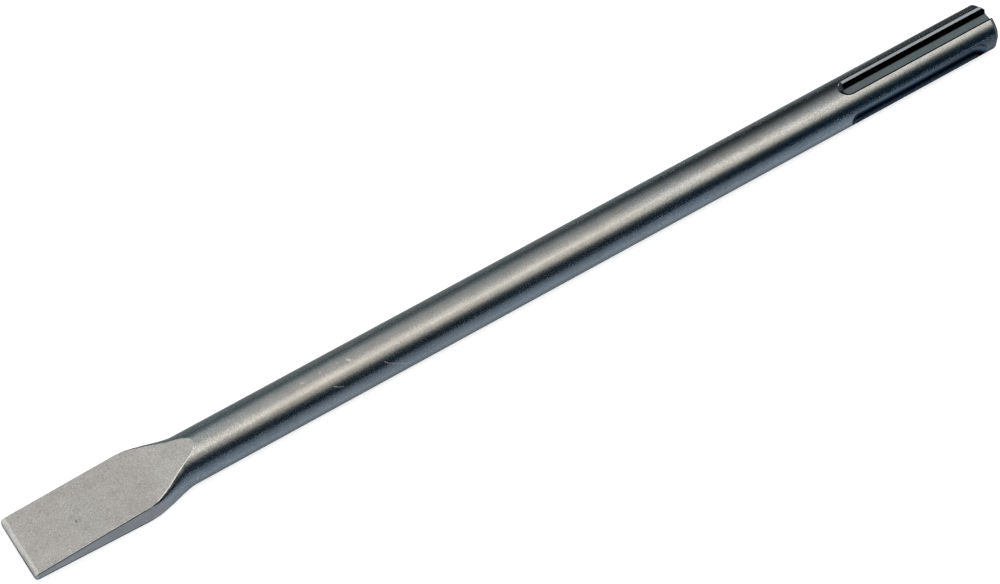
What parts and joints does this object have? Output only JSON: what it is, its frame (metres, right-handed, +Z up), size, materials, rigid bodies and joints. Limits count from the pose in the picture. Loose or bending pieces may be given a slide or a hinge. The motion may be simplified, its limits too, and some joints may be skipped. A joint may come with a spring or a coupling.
{
  "type": "sds flat chisel",
  "caption": "Flat chisel for a rotary hammer, a round steel bar forged to a wide blade at one end and grooved at the other for the hammer's chuck.",
  "frame": {"origin": "middle of the tool's length and width, on the plane that it lies on", "axes": "+X along the tool, from the cutting edge to the struck end. +Y across the blade. +Z up, away from the plane that the tool lies on, square to the flat of the blade."},
  "size_m": [0.4, 0.0244, 0.018],
  "materials": {
    "steel": "satin, fine blasted and ground tool steel, uncoated"
  },
  "bodies": {
    "root": {"flat_chisel": "steel"}
  },
  "joints": []
}
